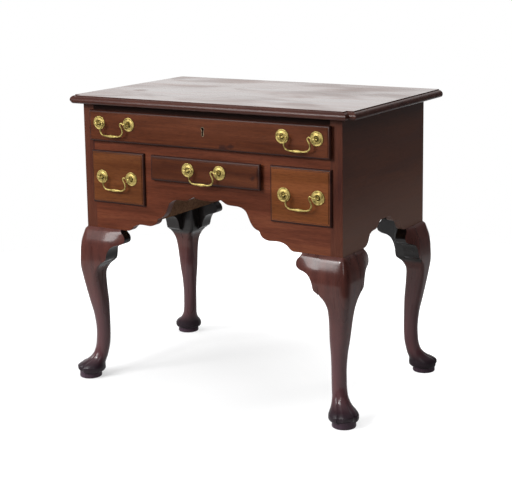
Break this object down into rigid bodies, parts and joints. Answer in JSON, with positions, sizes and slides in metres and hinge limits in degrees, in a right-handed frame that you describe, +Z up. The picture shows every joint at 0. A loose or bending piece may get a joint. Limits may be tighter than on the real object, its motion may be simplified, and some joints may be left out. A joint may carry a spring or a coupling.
{
  "type": "lowboy",
  "caption": "Lowboy dressing table: a wooden case of lipped drawers with swan-neck brass bails, a moulded top with notched corners, a scrolled apron and cabriole legs on trifid feet.",
  "frame": {"origin": "on the floor under the middle of the table, at the centre of its bounding box", "axes": "+X to the right as seen from the front, +Y to the back, +Z up; the drawers open towards -Y"},
  "size_m": [0.8292, 0.5352, 0.754],
  "materials": {
    "case_wood": "old polished reddish brown hardwood",
    "lining_wood": "bare aged softwood",
    "brass": "worn lacquered brass with dark recesses",
    "liner_brass": "dull brass",
    "lock_iron": "dark filed iron"
  },
  "bodies": {
    "case": {"top_board": "case_wood", "right_side": "case_wood", "left_side": "case_wood", "top_rail": "case_wood", "drawer_rail": "case_wood", "front_apron": "case_wood", "back_board": "lining_wood", "drawer_dividers": "case_wood", "right_partition": "lining_wood", "left_partition": "lining_wood", "drawer_runners": "lining_wood", "glue_blocks": "lining_wood", "front_right_leg": "case_wood", "front_left_leg": "case_wood", "rear_right_leg": "case_wood", "rear_left_leg": "case_wood", "front_right_front_knee_block": "case_wood", "front_right_side_knee_block": "case_wood", "front_left_front_knee_block": "case_wood", "front_left_side_knee_block": "case_wood", "rear_right_back_knee_block": "case_wood", "rear_right_side_knee_block": "case_wood", "rear_left_back_knee_block": "case_wood", "rear_left_side_knee_block": "case_wood"},
    "top_drawer": {"top_drawer_front": "case_wood", "top_drawer_left_side": "lining_wood", "top_drawer_right_side": "lining_wood", "top_drawer_back": "lining_wood", "top_drawer_bottom": "lining_wood", "top_drawer_rosettes": "brass", "top_drawer_posts": "brass", "keyhole_liner": "liner_brass", "lock_case": "lock_iron"},
    "left_drawer": {"left_drawer_front": "case_wood", "left_drawer_left_side": "lining_wood", "left_drawer_right_side": "lining_wood", "left_drawer_back": "lining_wood", "left_drawer_bottom": "lining_wood", "left_drawer_rosettes": "brass", "left_drawer_posts": "brass"},
    "middle_drawer": {"middle_drawer_front": "case_wood", "middle_drawer_left_side": "lining_wood", "middle_drawer_right_side": "lining_wood", "middle_drawer_back": "lining_wood", "middle_drawer_bottom": "lining_wood", "middle_drawer_rosettes": "brass", "middle_drawer_posts": "brass"},
    "right_drawer": {"right_drawer_front": "case_wood", "right_drawer_left_side": "lining_wood", "right_drawer_right_side": "lining_wood", "right_drawer_back": "lining_wood", "right_drawer_bottom": "lining_wood", "right_drawer_rosettes": "brass", "right_drawer_posts": "brass"},
    "top_left_handle": {"top_left_bail": "brass"},
    "top_right_handle": {"top_right_bail": "brass"},
    "left_handle": {"left_bail": "brass"},
    "middle_handle": {"middle_bail": "brass"},
    "right_handle": {"right_bail": "brass"},
    "bolt": {"lock_bolt": "lock_iron"}
  },
  "joints": [
    {"name": "top_drawer_slide", "type": "slide", "parent": "case", "child": "top_drawer", "axis": [0, -1, 0], "range_m": [-0.005, 0.3]},
    {"name": "left_drawer_slide", "type": "slide", "parent": "case", "child": "left_drawer", "axis": [0, -1, 0], "range_m": [0, 0.3]},
    {"name": "middle_drawer_slide", "type": "slide", "parent": "case", "child": "middle_drawer", "axis": [0, -1, 0], "range_m": [-0.005, 0.3]},
    {"name": "right_drawer_slide", "type": "slide", "parent": "case", "child": "right_drawer", "axis": [0, -1, 0], "range_m": [0, 0.3]},
    {"name": "top_left_bail_swing", "type": "hinge", "parent": "top_drawer", "child": "top_left_handle", "pos_m": [-0.269, -0.253, 0.687], "axis": [-1, 0, 0], "range_deg": [-10, 90]},
    {"name": "top_right_bail_swing", "type": "hinge", "parent": "top_drawer", "child": "top_right_handle", "pos_m": [0.269, -0.253, 0.687], "axis": [-1, 0, 0], "range_deg": [-10, 90]},
    {"name": "left_bail_swing", "type": "hinge", "parent": "left_drawer", "child": "left_handle", "pos_m": [-0.269, -0.248, 0.547], "axis": [-1, 0, 0], "range_deg": [-10, 90]},
    {"name": "middle_bail_swing", "type": "hinge", "parent": "middle_drawer", "child": "middle_handle", "pos_m": [0, -0.253, 0.585], "axis": [-1, 0, 0], "range_deg": [-10, 90]},
    {"name": "right_bail_swing", "type": "hinge", "parent": "right_drawer", "child": "right_handle", "pos_m": [0.269, -0.248, 0.547], "axis": [-1, 0, 0], "range_deg": [-10, 90]},
    {"name": "lock_bolt_slide", "type": "slide", "parent": "top_drawer", "child": "bolt", "axis": [0, 0, 1], "range_m": [0, 0.008]}
  ]
}
